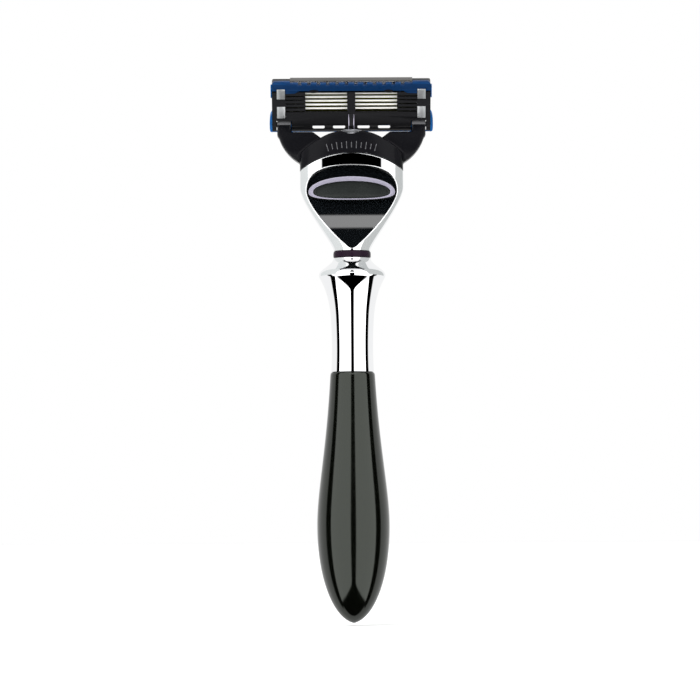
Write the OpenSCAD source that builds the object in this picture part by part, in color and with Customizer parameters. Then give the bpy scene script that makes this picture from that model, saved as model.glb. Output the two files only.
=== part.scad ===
// Cartridge razor: five-blade cartridge on a yoke, chrome head, turned collar and resin grip.
// +Z runs up the handle, +X across the cartridge, and the blades face +Y.
// The origin is on the handle's axis, at the middle of the neck washer.

/* [Cartridge] */
// Width of the cartridge frame, without its soft side wings
cartridge_w = 41.2; // [40.8:0.1:41.6]
// Height of the cartridge, from guard to cap
cartridge_h = 14.2; // [14.1:0.1:14.4]
// Thickness of the cartridge frame
cartridge_t = 4.0; // [3.9:0.1:4.1]
// Lean of the shaving plane from the handle's axis at rest, in degrees
tilt = 29; // [28:0.5:30]
// Distance from one blade edge to the next
blade_pitch = 1.05; // [1.00:0.01:1.06]
// Length of each blade
blade_len = 37.0; // [36:0.5:37.2]
// Thickness of each blade
blade_t = 0.1; // [0.08:0.01:0.12]
// How far each soft side wing stands out
wing_w = 0.7; // [0.4:0.1:0.9]

/* [Yoke] */
// Radius of the pivot pins
pivot_pin_r = 0.7; // [0.6:0.05:0.8]
// Radius of the round arm ends
arm_end_r = 1.4; // [1.3:0.05:1.4]
// Half width over the two arm ends
arm_reach = 19.3; // [19.2:0.05:19.3]
// Radius of each arm's outer edge
arm_edge_r = 11.7; // [11.5:0.1:11.8]
// Radius of the cowl's domed top edge
dome_r = 17.8; // [17.5:0.1:18.5]
// Height of the cowl's top
dome_z = 32.1; // [31.9:0.1:32.1]

/* [Head] */
// Width of the chrome head
head_w = 26.8; // [26.4:0.1:27.2]
// Thickness of the chrome head at its rim
head_t = 10.8; // [10.6:0.1:11.2]
// Forward lean of the head over the handle's axis
head_lean = 1.6; // [1.4:0.1:1.8]
// Radius of the head at the neck
neck_r = 4.7; // [4.5:0.1:4.8]
// Height of the rim at its middle
rim_z = 26.1; // [25.9:0.1:26.3]
// Radius of the rim's arc
rim_r = 22.2; // [22:0.1:22.6]
// Wall of the chrome shell
shell_wall = 1.3; // [1.2:0.1:1.4]
// Travel of the release button
button_travel = 2.0; // [1.5:0.1:2.1]
// Diameter of the threaded stud
stud_d = 4.0; // [3:0.5:4]

/* [Handle] */
// Radius of the neck washer
washer_r = 4.85; // [4.7:0.05:4.9]
// Thickness of the neck washer
washer_t = 1.8; // [1.8:0.1:2.0]
// Largest radius of the collar
collar_r = 8.5; // [8.3:0.1:8.8]
// Height of the collar's lower end
collar_end_z = -30.4; // [-31:0.1:-30]
// Largest radius of the grip
grip_r = 9.35; // [9:0.05:9.8]
// Height of the grip's tip
tip_z = -95.1; // [-97:0.1:-94]
// Radius of the threaded insert in the grip
insert_r = 3.0; // [2.5:0.1:3.2]

/* [Hidden] */
$fn = 48;

fit = 0.02;              // clearance of a fixed shaft in its hole
run = 0.05;              // clearance of a sliding or turning fit
gap = 0.15;              // clearance between covers
far = 60;                // longer than any cut has to be

// Cartridge frame: x across, y out of the shaving plane, z from guard to cap.
guard_pos = [0, 8.34, 33.84];
half_w = cartridge_w / 2;
pivot_local = [-2.6, 2.2];
pivot_y = side_view(pivot_local)[0];
pivot_z = side_view(pivot_local)[1];
wall_in = arm_reach + 0.2;
arm_in = 15.8;
first_edge = 5.0;
window_low = 4.5;
window_high = 10.9;
window_back = 6.2;       // lower edge of the openings in the back wall
blade_room = blade_len / 2 + 0.3;
back_wall = 0.8;
bar_half = 1.05;
window_out = 11.9;
finger_out = 17.1;
finger_gap = 0.4;
corner_r = 0.8;
guard_half = 19;
guard_low = -0.3;
strip_half = 17.2;
clip_in = 17.2;
clip_w = 2.1;
clip_t = 0.15;
clip_u = [4.7, 12.5];
carrier_u = [11.8, cartridge_h + 0.1];
carrier_w = [-cartridge_t - 0.2, -3.1];
slot_z = [32.7, 33.5];
slot_half = 1.6;
slot_rise = 6.5;
slot_x = [3.2, 8.55];

// Plunger and its cam: a flat nose under an involute, so travel is proportional to the angle.
cam_rate = 2.5;
cam_swing = 45;
cam_half = 0.65;
nose_top = 32.6;
nose_r = 2.8;
nose_h = 1.2;
nose_arc = (nose_r * nose_r + nose_h * nose_h) / (2 * nose_h);
stem_r = 1.4;
stem_foot = 22;
plunger_y = pivot_y - cam_rate;
cam_start = pivot_z - nose_top - 0.08;

// Dock, button and springs inside the head.
rim_c = rim_z - rim_r;
rim_squareness = 4.4;
scoop_y = -2.2;
cavity_floor = 6;
core_y = [0, 5.1];
core_half = 8.3;
core_top = 28.6;
core_mid = (core_y[0] + core_y[1]) / 2;
ejector_y = [-0.95, -0.1];
prong_x = [6.6, 8.0];
prong_top = rim_c + sqrt(pow(rim_r + gap, 2) - pow(prong_x[1], 2)) - button_travel - gap;
pad_z = [14.1, 20.4];
pad_mid = 16.3;
pad_half = 11.3;
recess_top = 23.2;
recess_half = 11.8;
stem = [3.8, 2.6];       // width and height of the button's stem
stem_z = 15;
stud_top = 9;
stud_foot = -12;
spring_x = 5.5;
spring_y = 1.05;
spring_z = [14.2, 20.5];
bore_floor = 13.8;
insert_in = 20;          // how far the insert reaches into the grip
insert_out = 8;          // and into the collar

// Point of the cartridge's own frame as seen from the side: [y, z].
function side_view(p) = [
    guard_pos[1] + p[0] * cos(tilt) - p[1] * sin(tilt),
    guard_pos[2] + p[0] * sin(tilt) + p[1] * cos(tilt)];

// Cubic curve through two ends, pulled by two handles.
function curve(p, steps) = [for (i = [0 : steps]) let (t = i / steps, s = 1 - t)
    s * s * s * p[0] + 3 * s * s * t * p[1] + 3 * s * t * t * p[2] + t * t * t * p[3]];
function smooth(t) = let (c = min(1, max(0, t))) c * c * (3 - 2 * c);

// Ring of a rounded cross-section: squareness 2 is an ellipse.
function signed_pow(v, p) = sign(v) * pow(abs(v), p);
function ring(z, half_x, mid_y, half_y, squareness, count = 40) =
    [for (i = [0 : count - 1]) let (a = 360 * (i + 0.5) / count)
        [half_x * signed_pow(cos(a), 2 / squareness),
         mid_y + half_y * signed_pow(sin(a), 2 / squareness), z]];

module loft(rings) {
    count = len(rings[0]);
    last = len(rings) - 1;
    sides = [for (k = [0 : last - 1], i = [0 : count - 1]) let (j = (i + 1) % count)
        [k * count + i, (k + 1) * count + i, (k + 1) * count + j, k * count + j]];
    floor_face = [for (i = [0 : count - 1]) i];
    roof_face = [for (i = [count - 1 : -1 : 0]) last * count + i];
    polyhedron(points = [for (r = rings) each r], faces = concat([floor_face], sides, [roof_face]));
}

module along_x(x0, x1) {
    translate([x0, 0, 0])
    rotate([90, 0, 90])
    linear_extrude(x1 - x0)
    children();
}

module along_y(y0, y1) {
    translate([0, y1, 0])
    rotate([90, 0, 0])
    linear_extrude(y1 - y0)
    children();
}

module both_sides() {
    children();
    mirror([1, 0, 0])
    children();
}

module cartridge_frame() {
    translate(guard_pos)
    rotate([tilt, 0, 0])
    children();
}

// Box in the cartridge's frame, given by its low and high corners.
module block(low, high) {
    translate(low)
    cube(high - low);
}

module round_bar(length, r) {
    rotate([0, 90, 0])
    cylinder(h = length, r = r);
}

// Slots that let water through between the guard and the frame. They rise towards the front.
module rinse_slots() {
    for (side = [-1, 1], x = slot_x)
        translate([side * x, 0, slot_z[0]])
        rotate([slot_rise, 0, 0])
        translate([-slot_half, -far / 2, 0])
        cube([2 * slot_half, far, slot_z[1] - slot_z[0]]);
}

// Front view with rounded top corners, open at the bottom.
module rounded_top(half, top) {
    translate([-half, -far])
    square([2 * half, far + top - corner_r]);
    translate([corner_r - half, -far])
    square([2 * (half - corner_r), far + top]);
    for (side = [-1, 1])
        translate([side * (half - corner_r), top - corner_r])
        circle(r = corner_r);
}

module frame_profile() {
    back = -cartridge_t;
    polygon([
        [-1.2, 0], [-1.7, 0], [-3.2, 1.6], [back, 3], [back, carrier_u[0] - 0.05],
        [-2.9, carrier_u[0] - 0.05], [-2.9, cartridge_h - 0.3], [-2.7, cartridge_h], [-0.7, cartridge_h],
        [0, cartridge_h - 0.7], [0, window_high], [0, window_low], [-1.2, window_low]
    ]);
}

// Room for one arm end: it turns in here while the cartridge swings.
module arm_pocket() {
    reach = arm_end_r + 0.2;
    inner = arm_in - 0.3;
    socket_depth = 0.85;
    block([inner, -far, -far], [wall_in, pivot_local[0] + reach, pivot_local[1]]);
    block([inner, -far, -far], [wall_in, pivot_local[0], pivot_local[1] + reach]);
    translate([inner, pivot_local[0], pivot_local[1]])
    round_bar(wall_in - inner, reach);
    translate([wall_in - 0.1, pivot_local[0], pivot_local[1]])
    round_bar(socket_depth + 0.1, pivot_pin_r + run);
}

// Rib on the back of the frame that presses the plunger down as the cartridge swings.
module cam_rib() {
    flank = [for (a = [0 : 5 : cam_swing]) let (h = cam_start + cam_rate * a * PI / 180)
        [pivot_y - cam_rate * cos(a) - h * sin(a), pivot_z + cam_rate * sin(a) - h * cos(a)]];
    root_low = [-3.2, 2.0];
    root_high = [-3.5, 6.0];
    along_x(-cam_half, cam_half)
    polygon(concat([side_view(root_low)], flank, [side_view(root_high)]));
}

module clip_slots() {
    for (u = clip_u)
        translate([clip_in, 0, u])
        block([-run, -far / 2, -clip_t - run], [clip_w + run, far / 2, clip_t + run]);
}

module cartridge_housing() {
    color("#1c1c1e") {
        difference() {
            cartridge_frame()
            difference() {
                intersection() {
                    along_x(-half_w, half_w)
                    frame_profile();
                    along_y(-far / 2, far / 2)
                    rounded_top(half_w, cartridge_h);
                }
                block([-blade_room, back_wall - cartridge_t, window_low], [blade_room, far, window_high]);
                both_sides() {
                    block([bar_half, -far, window_back], [window_out, 0, window_high]);
                    for (k = [0 : 4])
                        translate([0, 0, window_back + blade_pitch * k])
                        block([window_out - 0.1, -far, 0], [finger_out, 0, finger_gap]);
                    arm_pocket();
                    clip_slots();
                }
                translate([0, 0, window_high + 0.5])
                block([-strip_half - 0.1, -1.0, 0], [strip_half + 0.1, far, cartridge_h - window_high - 1.4]);
            }
            rinse_slots();
        }
        cam_rib();
    }
}

// Soft side wing: it tapers into the end wall at its top and bottom.
module wing() {
    edge = half_w + wing_w;
    back = -3.0;
    front = -0.5;
    top = 5.8;
    intersection() {
        along_x(half_w, edge)
        polygon([
            [back, 0.4], [-2.0, guard_low], [-0.8, guard_low], [front, 0.2],
            [front, top - 0.6], [front - 0.7, top], [back, top]
        ]);
        along_y(-far / 2, far / 2)
        polygon([
            [half_w, guard_low], [edge - 0.35, guard_low], [edge, 0.9],
            [edge, 3.4], [edge - 0.3, top - 0.8], [half_w, top]
        ]);
    }
}

module guard_strip() {
    fin_count = 12;
    fin_pitch = 0.27;
    fin_t = 0.14;
    first_fin = 0.95;
    base_w = -1.15;
    floor_w = -0.3;
    color("#12529c")
    difference() {
        cartridge_frame() {
            block([-guard_half, base_w, 0.1], [guard_half, floor_w, window_low - 0.1]);
            for (i = [0 : fin_count - 1])
                translate([0, 0, first_fin + fin_pitch * i])
                block([0.6 - guard_half, floor_w - 0.05, 0], [guard_half - 0.6, 0, fin_t]);
            block([-half_w - wing_w / 2, -2.0, guard_low], [half_w + wing_w / 2, -1.2, 0]);
            block([-guard_half, -1.2, guard_low], [guard_half, floor_w, 0.2]);
            both_sides()
            wing();
        }
        rinse_slots();
    }
}

module lubricating_strip() {
    color("#9fc9b4")
    cartridge_frame()
    block([-strip_half, -0.95, window_high + 0.6], [strip_half, -0.05, cartridge_h - 1.0]);
}

// Bent metal clip: a strap over the blade ends, two legs and two turned-in ends.
module clip() {
    front = run + clip_t;
    back = -cartridge_t - run - clip_t;
    tab_ends = [7.8, 9.9];
    color("#c9ccd0")
    cartridge_frame()
    translate([clip_in, 0, 0]) {
        block([0, run, clip_u[0] - clip_t], [clip_w, front, clip_u[1] + clip_t]);
        block([0, back, clip_u[0] - clip_t], [clip_w, front, clip_u[0]]);
        block([0, back, clip_u[1]], [clip_w, front, clip_u[1] + clip_t]);
        block([0, back, clip_u[0]], [clip_w, back + clip_t, tab_ends[0]]);
        block([0, back, tab_ends[1]], [clip_w, back + clip_t, clip_u[1]]);
    }
}

module clip_left() {
    mirror([1, 0, 0])
    clip();
}

module clip_right() {
    clip();
}

module trimmer_carrier() {
    tooth_pitch = 2.43;
    tooth_count = 12;
    notch_half = 0.45;
    half = half_w - 0.1;
    color("#0d3a73")
    cartridge_frame()
    difference() {
        intersection() {
            block([-half, carrier_w[0], carrier_u[0]], [half, carrier_w[1], carrier_u[1]]);
            along_y(-far / 2, far / 2)
            rounded_top(half, carrier_u[1]);
        }
        for (i = [0 : tooth_count - 1])
            translate([(i - (tooth_count - 1) / 2) * tooth_pitch, 0, 0])
            block([-notch_half, -far, carrier_u[1] - 0.6], [notch_half, far, far]);
        both_sides()
        block([clip_in - 0.1, -far, 0], [clip_in + clip_w + 0.1, far, clip_u[1] + clip_t + run]);
    }
}

module trimmer_blade() {
    half = 15.9;
    back = carrier_w[1] + run;
    color("#b9bdc2")
    cartridge_frame()
    block([-half, back, carrier_u[0] + 0.3], [half, back + blade_t, carrier_u[1] + 0.1]);
}

// Blade k lies at a shallow angle, with its edge in the shaving plane and towards the guard.
module blade(k) {
    edge = first_edge + blade_pitch * k;
    color("#d4d7da")
    cartridge_frame()
    along_x(-blade_len / 2, blade_len / 2)
    polygon([[0, edge], [-0.32, edge + 0.95], [-0.32 - blade_t, edge + 0.92], [-0.14, edge + 0.12]]);
}

module blade_support(k) {
    edge = first_edge + blade_pitch * k;
    sheet = 0.12;
    top = edge + 1.0;
    foot = -2.7;
    half = blade_len / 2 - 1.4;
    color("#c6c8c6")
    cartridge_frame()
    along_x(-half, half)
    polygon([
        [-0.2, edge + 0.2], [-0.32 - blade_t - fit, edge + 0.91], [-0.42, top], [foot, top],
        [foot, top - sheet], [-0.6, top - sheet], [-0.35, edge + 0.2]
    ]);
}

module arm_outline() {
    centre_x = arm_reach - arm_edge_r;
    arm_top = 32.3;
    web_top = 30.4;
    intersection() {
        translate([centre_x, 34])
        circle(r = arm_edge_r);
        polygon([[0, 20], [20, 20], [20, arm_top], [10.0, arm_top], [7.6, web_top], [0, web_top]]);
    }
}

// Side view of the arms: a curved plate that leans forward to the pivot.
module arm_side() {
    back = curve([[-0.6, 21.9], [-0.7, 27], [1.1, 31], [pivot_y - arm_end_r + 0.2, pivot_z]], 12);
    front = curve([[pivot_y + arm_end_r, pivot_z], [5.6, 29.5], [3.6, 27], [3.4, 21.9]], 12);
    polygon(concat(back, front));
}

module arms() {
    pin_out = 0.85;
    intersection() {
        both_sides()
        along_y(-far / 2, far / 2)
        arm_outline();
        along_x(-far / 2, far / 2)
        arm_side();
    }
    both_sides() {
        intersection() {
            translate([arm_in, -far / 2, 31])
            cube([arm_reach - arm_in, far, far]);
            along_x(0, far)
            arm_side();
        }
        translate([0, pivot_y, pivot_z]) {
            translate([arm_in, 0, 0])
            round_bar(arm_reach - arm_in, arm_end_r);
            translate([arm_reach - 0.5, 0, 0])
            round_bar(pin_out + 0.5, pivot_pin_r);
        }
    }
}

// Cowl between the rim of the head and the domed top edge.
module cowl() {
    dome_c = dome_z - dome_r;
    half_x = head_w / 2;
    intersection() {
        loft([
            ring(20, half_x, head_lean, head_t / 2, rim_squareness),
            ring(25, half_x, head_lean, head_t / 2, rim_squareness),
            ring(28, half_x, 1.95, 4.75, 3.6),
            ring(30.5, half_x, 2.3, 4.1, 3),
            ring(33, half_x, 2.6, 3.5, 2.6)
        ]);
        along_y(-far / 2, far / 2)
        intersection() {
            translate([0, dome_c])
            circle(r = dome_r, $fn = 96);
            translate([-half_x, 0])
            square([head_w, far]);
        }
        along_x(-far / 2, far / 2)
        polygon([[-far, 0], [-far, far], [-1.6, far], [-1.6, 32.4], [5.2, 31.2], [7.2, 29.6], [7.2, 0]]);
    }
}

module dock_section(grow) {
    r = 1.2;
    width = core_half + grow;
    depth = (core_y[1] - core_y[0]) / 2 + grow;
    translate([0, core_mid]) {
        square([2 * width, 2 * (depth - r)], center = true);
        square([2 * (width - r), 2 * depth], center = true);
        for (sx = [-1, 1], sy = [-1, 1])
            translate([sx * (width - r), sy * (depth - r)])
            circle(r = r);
    }
}

module yoke() {
    color("#18181a")
    difference() {
        union() {
            arms();
            cowl();
        }
        along_y(-far / 2, far / 2)
        translate([0, rim_c])
        circle(r = rim_r + gap, $fn = 96);
        translate([0, 0, -1])
        linear_extrude(core_top + 1.2)
        dock_section(gap);
        translate([0, plunger_y, 0])
        cylinder(h = far, r = nose_r + 0.3);
        along_y(-far / 2, plunger_y)
        translate([0, nose_top - nose_h + nose_arc])
        circle(r = nose_arc + 0.25);
    }
}

module plunger() {
    color("#b9bbc0")
    translate([0, plunger_y, 0]) {
        intersection() {
            translate([0, 0, nose_top - nose_h + nose_arc])
            sphere(r = nose_arc, $fn = 64);
            cylinder(h = nose_top, r = nose_r + 1);
        }
        translate([0, 0, stem_foot])
        cylinder(h = nose_top - stem_foot - 0.4, r = stem_r);
    }
}

// Coil spring as a round wire swept along a helix, with 5 sides to the wire.
module coil(x, y, z0, z1, coil_r, wire_r, turns) {
    sides = 5;
    per_turn = 10;
    rings = per_turn * turns;
    rise = z1 - z0 - 2 * wire_r;
    points = [for (k = [0 : rings], s = [0 : sides - 1]) let (a = 360 * k / per_turn, b = 360 * s / sides)
        [x + (coil_r + wire_r * cos(b)) * cos(a), y + (coil_r + wire_r * cos(b)) * sin(a),
         z0 + wire_r + rise * k / rings + wire_r * sin(b)]];
    skin = [for (k = [0 : rings - 1], s = [0 : sides - 1]) let (t = (s + 1) % sides)
        [k * sides + s, k * sides + t, (k + 1) * sides + t, (k + 1) * sides + s]];
    start = [for (s = [sides - 1 : -1 : 0]) s];
    end = [for (s = [0 : sides - 1]) rings * sides + s];
    polyhedron(points = points, faces = concat([start], skin, [end]));
}

module plunger_spring() {
    color("#a8abb0")
    coil(0, plunger_y, bore_floor, stem_foot, 1.15, 0.18, 7);
}

module button_springs() {
    color("#a8abb0")
    for (side = [-1, 1])
        coil(side * spring_x, spring_y, spring_z[0], spring_z[1], 0.85, 0.14, 6);
}

// Outline of the head: a flare from the neck, rounding over to the full width.
function head_rings(inset, z_low, z_high) =
    let (flare = curve([[1, neck_r], [2.65, neck_r], [13.4, head_w / 2], [17.5, head_w / 2]], 9),
         rest = [[21, head_w / 2], [z_high, head_w / 2]],
         stations = concat([[z_low, lookup(z_low, flare)]],
             [for (p = flare) if (p[0] > z_low + 0.3) p], rest))
    [for (p = stations) let (s = smooth((p[0] - 1) / 20))
        ring(p[0], p[1] - inset, head_lean * s, neck_r + (head_t / 2 - neck_r) * s - inset,
            2 + (rim_squareness - 2) * s)];

module rim_cut() {
    along_y(-far / 2, far / 2)
    difference() {
        translate([-far / 2, 8])
        square([far, far]);
        translate([0, rim_c])
        circle(r = rim_r, $fn = 96);
    }
}

// Teardrop with an oval top, drawn from behind.
module inlay_outline(grow) {
    half = recess_half + grow;
    right = curve([[half, 16.6], [half, 12.3], [5.2 + grow, 6.6], [0, 1.9 - 1.5 * grow]], 14);
    top = curve([[0, recess_top + grow], [8.0, recess_top + grow], [half, 20.7], [half, 16.6]], 14);
    left = [for (i = [len(right) - 2 : -1 : 0]) [-right[i][0], right[i][1]]];
    top_left = [for (i = [len(top) - 2 : -1 : 1]) [-top[i][0], top[i][1]]];
    polygon(concat(top, [for (i = [1 : len(right) - 1]) right[i]], left, top_left));
}

module head_shell() {
    color("#dfe3e8")
    difference() {
        loft(head_rings(0, washer_t / 2, 28));
        loft(head_rings(shell_wall, cavity_floor, 30));
        rim_cut();
        along_y(-far / 2, 0)
        inlay_outline(0);
        translate([0, 0, -1])
        cylinder(h = 10, r = stud_d / 2 + fit);
    }
}

// Side view of the thumb scoop's face, from the neck to the rim.
function scoop_face(shift) = concat(
    curve([[-4.65 + shift, 1], [-3.5 + shift, 4.6], [scoop_y + shift, 8.6], [scoop_y + shift, 14]], 12),
    [[scoop_y + shift, 24]]);

// Scooped plate in the back of the head, with a slot for the button's stem.
module back_inlay() {
    skin_t = 1.1;
    slot = [4.4, stem[1] + 0.6 + button_travel];
    back_face = scoop_face(skin_t);
    color("#0c0c0e")
    difference() {
        intersection() {
            loft(head_rings(0.05, washer_t / 2, 28));
            along_y(-far / 2, 0)
            inlay_outline(-0.05);
            along_x(-far / 2, far / 2)
            polygon(concat(scoop_face(0), [for (i = [len(back_face) - 1 : -1 : 0]) back_face[i]]));
        }
        along_y(-far / 2, 0)
        translate([-slot[0] / 2, stem_z - 0.3])
        square(slot);
        cylinder(h = stud_top + 0.3, r = stud_d / 2 + run);
    }
}

// Egg-shaped thumb pad: half an ellipse above its widest line, a flatter half below.
module pad_outline(grow) {
    steps = 40;
    polygon([for (i = [0 : steps - 1]) let (a = 360 * i / steps,
        half_h = (sin(a) > 0 ? pad_z[1] - pad_mid : pad_mid - pad_z[0]) + grow)
        [(pad_half + grow) * cos(a), pad_mid + half_h * sin(a)]]);
}

module release_button() {
    lip = 1.2;
    dish_y = -3.2;
    color("#111114") {
        difference() {
            intersection() {
                along_y(-6, scoop_y - run)
                pad_outline(0);
                loft(head_rings(-0.1, washer_t / 2, 28));
            }
            along_y(-6, dish_y)
            pad_outline(-lip);
        }
        translate([-stem[0] / 2, scoop_y - 0.5, stem_z])
        cube([stem[0], ejector_y[0] - scoop_y + 0.5, stem[1]]);
    }
}

// Plate behind the pad with two prongs above it and a foot under each spring.
module ejector() {
    plate_t = ejector_y[1] - ejector_y[0];
    plate_z = 14.2;
    plate_h = 4.2;
    foot_half = 0.9;
    foot_z = 13.2;
    color("#8e9094") {
        translate([-prong_x[1], ejector_y[0], plate_z])
        cube([2 * prong_x[1], plate_t, plate_h]);
        both_sides() {
            translate([prong_x[0], ejector_y[0], plate_z])
            cube([prong_x[1] - prong_x[0], plate_t, prong_top - plate_z]);
            translate([spring_x - foot_half, ejector_y[0], foot_z]) {
                cube([2 * foot_half, spring_y + foot_half - ejector_y[0], plate_z - foot_z]);
                cube([2 * foot_half, plate_t, plate_z - foot_z + 0.5]);
            }
        }
    }
}

module dock_core() {
    spring_room = 1.2;
    spring_foot = 12.9;
    color("#2a2b2e")
    difference() {
        intersection() {
            translate([0, 0, cavity_floor + fit])
            linear_extrude(core_top - cavity_floor - fit)
            dock_section(0);
            loft(head_rings(shell_wall + 0.05, cavity_floor - 0.1, 30));
        }
        translate([0, plunger_y, bore_floor])
        cylinder(h = far, r = stem_r + run);
        cylinder(h = stud_top + 0.5, r = stud_d / 2 + fit);
        both_sides()
        translate([spring_x - spring_room, -far, spring_foot])
        cube([2 * spring_room, far + spring_y + spring_room, spring_z[1] - spring_foot]);
    }
}

module threaded_stud() {
    chamfer = 0.4;
    r = stud_d / 2;
    color("#a9adb2")
    rotate_extrude()
    polygon([
        [0, stud_foot], [r - chamfer, stud_foot], [r, stud_foot + chamfer],
        [r, stud_top - chamfer], [r - chamfer, stud_top], [0, stud_top]
    ]);
}

module neck_washer() {
    round = 0.3;
    half = washer_t / 2;
    bore = stud_d / 2 + fit;
    color("#241c24")
    rotate_extrude()
    polygon([
        [bore, -half], [washer_r - round, -half], [washer_r, round - half],
        [washer_r, half - round], [washer_r - round, half], [bore, half]
    ]);
}

module ferrule() {
    top = -washer_t / 2;
    shoulder = [collar_r - 0.25, -4.5];
    under = [collar_r - 0.04, -6.0];
    waist = [5.6, -15.9];
    outline = concat(
        curve([[washer_r, top - 0.3], [5.1, -2.4], [7.8, -3.8], shoulder], 8),
        curve([shoulder, [collar_r + 0.12, -4.95], [collar_r + 0.18, -5.55], under], 8),
        curve([under, [7.5, -7.75], [6.1, -10.4], waist], 10),
        curve([waist, [5.3, -20.5], [5.2, -25], [5.5, collar_end_z]], 8));
    color("#dfe3e8")
    difference() {
        rotate_extrude()
        polygon(concat([[0, top], [washer_r - 0.2, top]], outline, [[0, collar_end_z]]));
        translate([0, 0, stud_foot - 0.5])
        cylinder(h = -stud_foot + 0.5, r = stud_d / 2 + fit);
        translate([0, 0, collar_end_z - 1])
        cylinder(h = insert_out + 1.5, r = insert_r + fit);
    }
}

module grip() {
    top = collar_end_z;
    neck = [5.85, top - 2];
    belly = [grip_r, -70];
    outline = concat(
        curve([[5.5, top], [5.7, top - 0.05], [5.77, top - 0.4], neck], 6),
        curve([neck, [7.0, -51.4], [grip_r, -61], belly], 14),
        curve([belly, [grip_r, -84.5], [5.0, tip_z + 1.0], [0, tip_z]], 16));
    color("#1a1b18")
    difference() {
        rotate_extrude()
        polygon(concat([[0, top]], outline));
        translate([0, 0, top - insert_in - 0.1])
        cylinder(h = insert_in + 10, r = insert_r + fit);
    }
}

module grip_insert() {
    color("#b59a55")
    translate([0, 0, collar_end_z - insert_in])
    cylinder(h = insert_in + insert_out, r = insert_r);
}

cartridge_housing();
guard_strip();
lubricating_strip();
clip_left();
clip_right();
trimmer_carrier();
trimmer_blade();
blade(0);  // blade_1
blade(1);  // blade_2
blade(2);  // blade_3
blade(3);  // blade_4
blade(4);  // blade_5
blade_support(0);  // blade_support_1
blade_support(1);  // blade_support_2
blade_support(2);  // blade_support_3
blade_support(3);  // blade_support_4
blade_support(4);  // blade_support_5
yoke();
plunger();
plunger_spring();
head_shell();
back_inlay();
release_button();
ejector();
button_springs();
dock_core();
threaded_stud();
neck_washer();
ferrule();
grip();
grip_insert();
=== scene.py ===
"""Looks of the cartridge razor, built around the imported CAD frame.

Meshes are made in millimetres and become metres when piece() finishes them.
+Z runs up the handle, +X across the cartridge, and the blades face +Y.
"""
import bisect
import math

import bmesh
import bpy
from mathutils import Matrix, Vector


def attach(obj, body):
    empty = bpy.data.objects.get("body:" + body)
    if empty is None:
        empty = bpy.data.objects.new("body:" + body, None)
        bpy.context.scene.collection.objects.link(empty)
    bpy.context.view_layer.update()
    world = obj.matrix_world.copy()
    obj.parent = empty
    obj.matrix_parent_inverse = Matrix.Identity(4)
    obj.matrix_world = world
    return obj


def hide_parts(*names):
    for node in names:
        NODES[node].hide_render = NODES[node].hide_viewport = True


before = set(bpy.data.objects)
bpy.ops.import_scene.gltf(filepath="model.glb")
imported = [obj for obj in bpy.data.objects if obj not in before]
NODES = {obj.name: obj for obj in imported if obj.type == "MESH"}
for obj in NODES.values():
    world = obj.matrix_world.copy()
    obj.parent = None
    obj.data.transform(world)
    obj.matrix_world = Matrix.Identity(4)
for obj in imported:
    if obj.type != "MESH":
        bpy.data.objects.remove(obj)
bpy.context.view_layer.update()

MM = 0.001
SIDES = ((1, "right"), (-1, "left"))

# Cartridge frame: x across, w out of the shaving plane, u from guard to cap.
TILT = math.radians(29)
GUARD_POS = (0, 8.34, 33.84)
HALF_W = 20.6
CARTRIDGE_H = 14.2
CARTRIDGE_T = 4.0
CAP_TOP = 14.65
CAP_HALF = 15.9
CORNER_R = 0.8
PITCH = 1.05
FIRST_EDGE = 5.0
BLADE_HALF = 18.5
WINDOW_LOW = 4.5
WINDOW_HIGH = 10.9
REAR_HIGH = 11.7
CLIP_IN = 17.2
CLIP_W = 2.1
CLIP_U = (4.7, 12.5)
PIVOT_LOCAL = (-2.6, 2.2)
PIVOT_Y = 4.9994
PIVOT_Z = 34.5037

# Plunger and its nose.
PLUNGER_Y = 2.4994
NOSE_TOP = 32.6
NOSE_R = 2.7
NOSE_BOWL = 0.95
NOSE_ARC = (NOSE_R ** 2 + NOSE_BOWL ** 2) / (2 * NOSE_BOWL)

# Half reach of cutters that go right through.
CUT = 20
LONG_CUT = 30

# Arms and pivot pins, out from the middle.
ARM = (15.8, 19.3)
PIN = (18.8, 20.15)
PIN_R = 0.7

# Holes for the stud and the insert.
STUD_R = 2.02
INSERT_R = 3.02

# Head: outside, rim arc, opening, scoop and button.
HEAD_HALF = 13.4
HEAD_T = 10.8
HEAD_LEAN = 1.6
NECK_R = 4.7
RIM_R = 22.2
RIM_C = 3.9
RIM_SQUARE = 4.4
SHELL_WALL = 1.3
OPENING_HALF = 11.8
OPENING_TOP = 22.95
OPENING_TIP = 1.3
SCOOP_Y = -2.2
PAD_TOP = 20.1
PAD_MID = 16.0
PAD_LOW = 13.8
PAD_HALF = 11.3
PAD_SQUARE = 2.7
DISH_Z = 16.05
FLOOR_Z = -95.8


# --- curves and meshes


def curve(a, b, c, d, steps):
    """Cubic curve from a to d, pulled by the handles b and c."""
    points = []
    for i in range(steps + 1):
        t = i / steps
        s = 1 - t
        weights = (s * s * s, 3 * s * s * t, 3 * s * t * t, t * t * t)
        points.append(tuple(sum(w * p[k] for w, p in zip(weights, (a, b, c, d))) for k in range(len(a))))
    return points


def path(start, *segments):
    """Outline from points and curves in turn. A curve is its two handles, its end and its steps."""
    points = [start]
    for segment in segments:
        if len(segment) == 2:
            points.append(segment)
        else:
            points += curve(points[-1], *segment)[1:]
    return points


def arc(centre, r, start, stop, steps):
    """Points on a circle between two angles in degrees."""
    points = []
    for i in range(steps + 1):
        a = math.radians(start + (stop - start) * i / steps)
        points.append((centre[0] + r * math.cos(a), centre[1] + r * math.sin(a)))
    return points


def circle(centre, r, count):
    return arc(centre, r, 0, 360, count)[:-1]


def mirrored(outline):
    return [(-x, z) for x, z in reversed(outline)]


def span(side, near, far):
    """Left and right x of something between two distances on one side."""
    return sorted((side * near, side * far))


def smooth(t):
    t = min(1.0, max(0.0, t))
    return t * t * (3 - 2 * t)


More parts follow.
